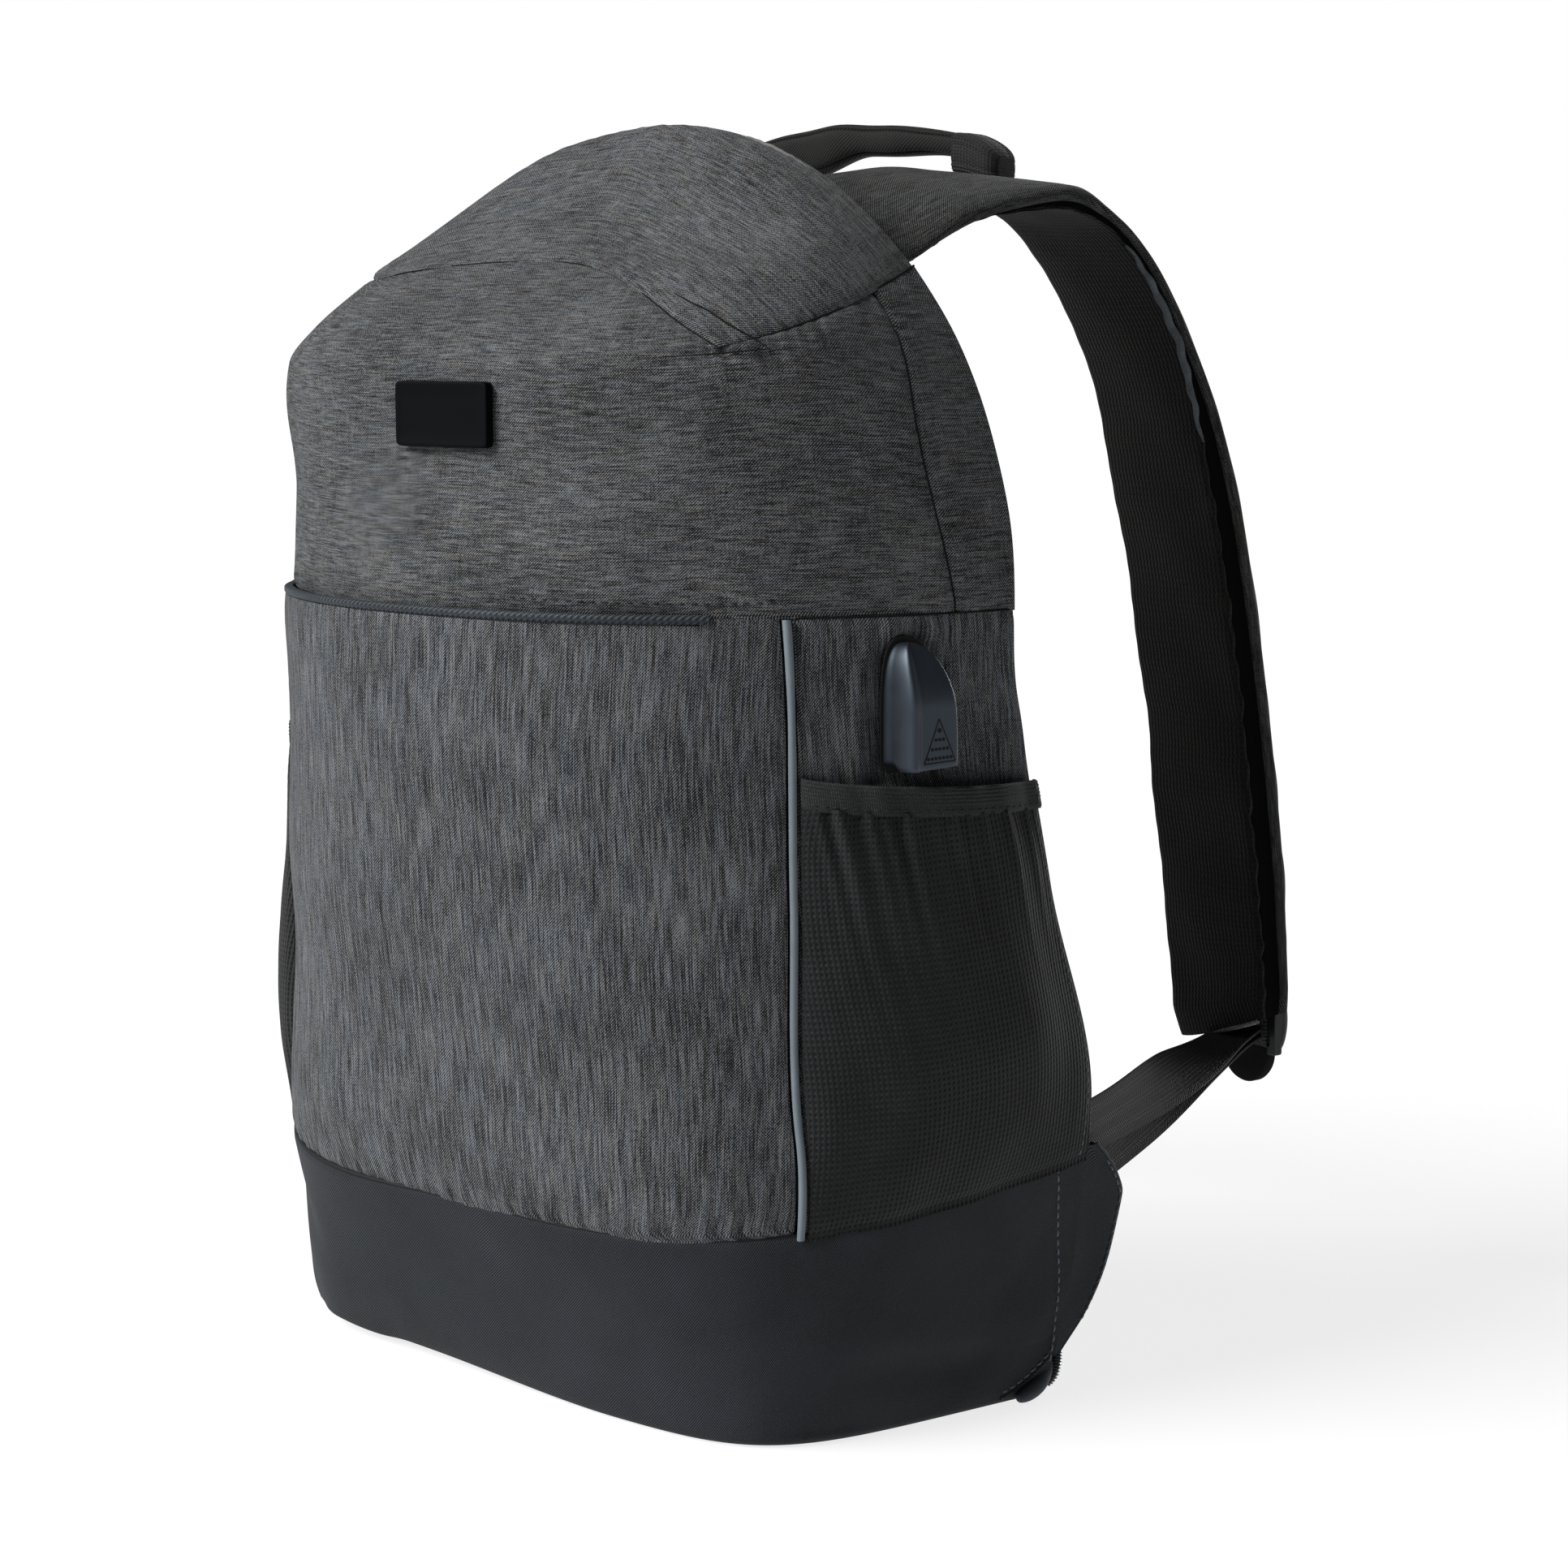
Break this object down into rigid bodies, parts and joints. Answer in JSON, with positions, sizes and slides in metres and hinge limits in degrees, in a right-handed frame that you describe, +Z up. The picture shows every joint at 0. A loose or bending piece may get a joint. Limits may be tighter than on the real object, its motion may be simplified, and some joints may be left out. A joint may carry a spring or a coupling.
{
  "type": "anti-theft backpack",
  "caption": "Soft daypack with a rear zip, front slip pocket, mesh bottle pockets, hooded charging port, padded shoulder straps and carry handle.",
  "frame": {"origin": "on the floor under the middle of the bag's base", "axes": "+Z up, -Y towards the front with the badge and slip pocket, +Y towards the wearer, +X to the bag's right as seen from the front"},
  "size_m": [0.3366, 0.3426, 0.4548],
  "materials": {
    "heather_cloth": "matte",
    "slate_cloth": "matte",
    "base_twill": "matte",
    "stretch_mesh": "matte",
    "elastic_band": "matte",
    "air_mesh": "matte",
    "black_webbing": "matte",
    "zip_tape": "matte",
    "piping_cord": "satin",
    "moulded_plastic": "satin",
    "badge_rubber": "satin"
  },
  "bodies": {
    "root": {"front_upper_panel": "heather_cloth", "top_panel": "heather_cloth", "back_gusset_right": "heather_cloth", "back_gusset_left": "heather_cloth", "side_panel_right": "slate_cloth", "side_panel_left": "slate_cloth", "front_pocket_panel": "slate_cloth", "front_wall": "base_twill", "pocket_binding": "base_twill", "piping_right": "piping_cord", "piping_left": "piping_cord", "mesh_pocket_right": "stretch_mesh", "mesh_pocket_left": "stretch_mesh", "mesh_binding_right": "elastic_band", "mesh_binding_left": "elastic_band", "base": "base_twill", "back_panel": "air_mesh", "main_zip": "zip_tape", "zip_slider": "moulded_plastic", "wing_right": "base_twill", "wing_left": "base_twill", "strap_pad_right": "air_mesh", "strap_pad_left": "air_mesh", "strap_cover_right": "heather_cloth", "strap_cover_left": "heather_cloth", "ladder_lock_right": "moulded_plastic", "ladder_lock_left": "moulded_plastic", "webbing_right": "black_webbing", "webbing_left": "black_webbing", "webbing_tail_right": "black_webbing", "webbing_tail_left": "black_webbing", "handle_grip": "base_twill", "handle_end_right": "black_webbing", "handle_end_left": "black_webbing", "usb_hood": "moulded_plastic", "badge": "badge_rubber"}
  },
  "joints": []
}
